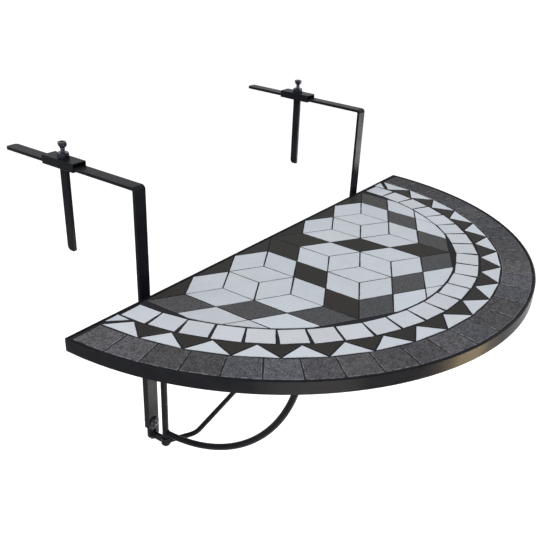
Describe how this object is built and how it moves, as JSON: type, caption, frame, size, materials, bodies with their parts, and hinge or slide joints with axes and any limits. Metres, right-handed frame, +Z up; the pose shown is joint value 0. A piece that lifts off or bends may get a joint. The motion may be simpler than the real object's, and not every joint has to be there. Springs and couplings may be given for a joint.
{
  "type": "balcony railing bar table",
  "caption": "Half-round mosaic-topped table that hangs from a balcony railing by clamped flat-bar hooks, on swinging bow supports.",
  "frame": {"origin": "the railing seat: the middle plane between the two arms, the back face of the hanging bars and the underside of the arms", "axes": "+X along the railing, +Y outwards over the railing, +Z up; the tabletop lies on the -Y side"},
  "size_m": [0.76, 0.6109, 0.3848],
  "materials": {
    "black_paint": "glossy black powder coat",
    "dark_zinc": "dark blue-black zinc plate",
    "slate_tile": "matte speckled slate-grey ceramic",
    "grey_tile": "matte grey ceramic",
    "black_tile": "satin black ceramic",
    "white_tile": "satin bluish-white ceramic",
    "pale_grey_tile": "matte pale grey ceramic",
    "grout": "rough dark grey cement grout",
    "cement_board": "rough grey fibre cement"
  },
  "bodies": {
    "frame": {"hanging_bar_left": "black_paint", "hanging_bar_right": "black_paint", "post_left": "black_paint", "post_right": "black_paint", "post_bolt_left": "dark_zinc", "post_bolt_right": "dark_zinc", "post_nut_left": "dark_zinc", "post_nut_right": "dark_zinc", "table_lug_left": "black_paint", "table_lug_right": "black_paint", "table_pin_left": "dark_zinc", "table_pin_right": "dark_zinc", "table_pin_nut_left": "dark_zinc", "table_pin_nut_right": "dark_zinc", "lower_hinge_left": "black_paint", "lower_hinge_right": "black_paint", "upper_hinge_left": "black_paint", "upper_hinge_right": "black_paint", "stretcher": "black_paint"},
    "tabletop": {"rim": "black_paint", "board": "cement_board", "grout": "grout", "rear_brace": "black_paint", "front_brace": "black_paint", "table_ear_left": "black_paint", "table_ear_right": "black_paint", "slate_ring": "slate_tile", "square_ring": "pale_grey_tile", "white_triangles": "white_tile", "black_triangles": "black_tile", "white_end_tiles": "white_tile", "white_rhombi": "white_tile", "grey_rhombi": "grey_tile", "black_rhombi": "black_tile", "white_edge_tiles": "white_tile"},
    "gate_left": {"gate_rod_left": "black_paint", "gate_bow_left": "black_paint", "gate_cap_left": "black_paint"},
    "clamp_left": {"clamp_sleeve_left": "black_paint", "clamp_leg_left": "black_paint", "clamp_nut_left": "dark_zinc"},
    "clamp_foot_left": {"clamp_foot_left": "dark_zinc"},
    "clamp_screw_left": {"clamp_screw_left": "dark_zinc"},
    "gate_right": {"gate_rod_right": "black_paint", "gate_bow_right": "black_paint", "gate_cap_right": "black_paint"},
    "clamp_right": {"clamp_sleeve_right": "black_paint", "clamp_leg_right": "black_paint", "clamp_nut_right": "dark_zinc"},
    "clamp_foot_right": {"clamp_foot_right": "dark_zinc"},
    "clamp_screw_right": {"clamp_screw_right": "dark_zinc"}
  },
  "joints": [
    {"name": "table_lift", "type": "hinge", "parent": "frame", "child": "tabletop", "pos_m": [0, -0.017, -0.1635], "axis": [-1, 0, 0], "range_deg": [0, 8]},
    {"name": "gate_left_swing", "type": "hinge", "parent": "frame", "child": "gate_left", "pos_m": [-0.25, -0.0295, -0.25], "axis": [0, 0, 1], "range_deg": [0, 90]},
    {"name": "clamp_left_slide", "type": "slide", "parent": "frame", "child": "clamp_left", "axis": [0, 1, 0], "range_m": [-0.088, 0.07]},
    {"name": "clamp_foot_left_lift", "type": "slide", "parent": "clamp_left", "child": "clamp_foot_left", "axis": [0, 0, 1], "range_m": [0, 0.002]},
    {"name": "clamp_screw_left_turn", "type": "hinge", "parent": "clamp_foot_left", "child": "clamp_screw_left", "pos_m": [-0.25, 0.123, 0.02], "axis": [0, 0, 1], "range_deg": [0, 720]},
    {"name": "gate_right_swing", "type": "hinge", "parent": "frame", "child": "gate_right", "pos_m": [0.25, -0.0295, -0.25], "axis": [0, 0, -1], "range_deg": [0, 90]},
    {"name": "clamp_right_slide", "type": "slide", "parent": "frame", "child": "clamp_right", "axis": [0, 1, 0], "range_m": [-0.088, 0.07]},
    {"name": "clamp_foot_right_lift", "type": "slide", "parent": "clamp_right", "child": "clamp_foot_right", "axis": [0, 0, 1], "range_m": [0, 0.002]},
    {"name": "clamp_screw_right_turn", "type": "hinge", "parent": "clamp_foot_right", "child": "clamp_screw_right", "pos_m": [0.25, 0.123, 0.02], "axis": [0, 0, 1], "range_deg": [0, 720]}
  ],
  "couplings": [
    {"joint": "clamp_screw_left_turn", "follows": "clamp_foot_left_lift", "rad_per_m": 6283.2},
    {"joint": "clamp_screw_right_turn", "follows": "clamp_foot_right_lift", "rad_per_m": 6283.2}
  ]
}
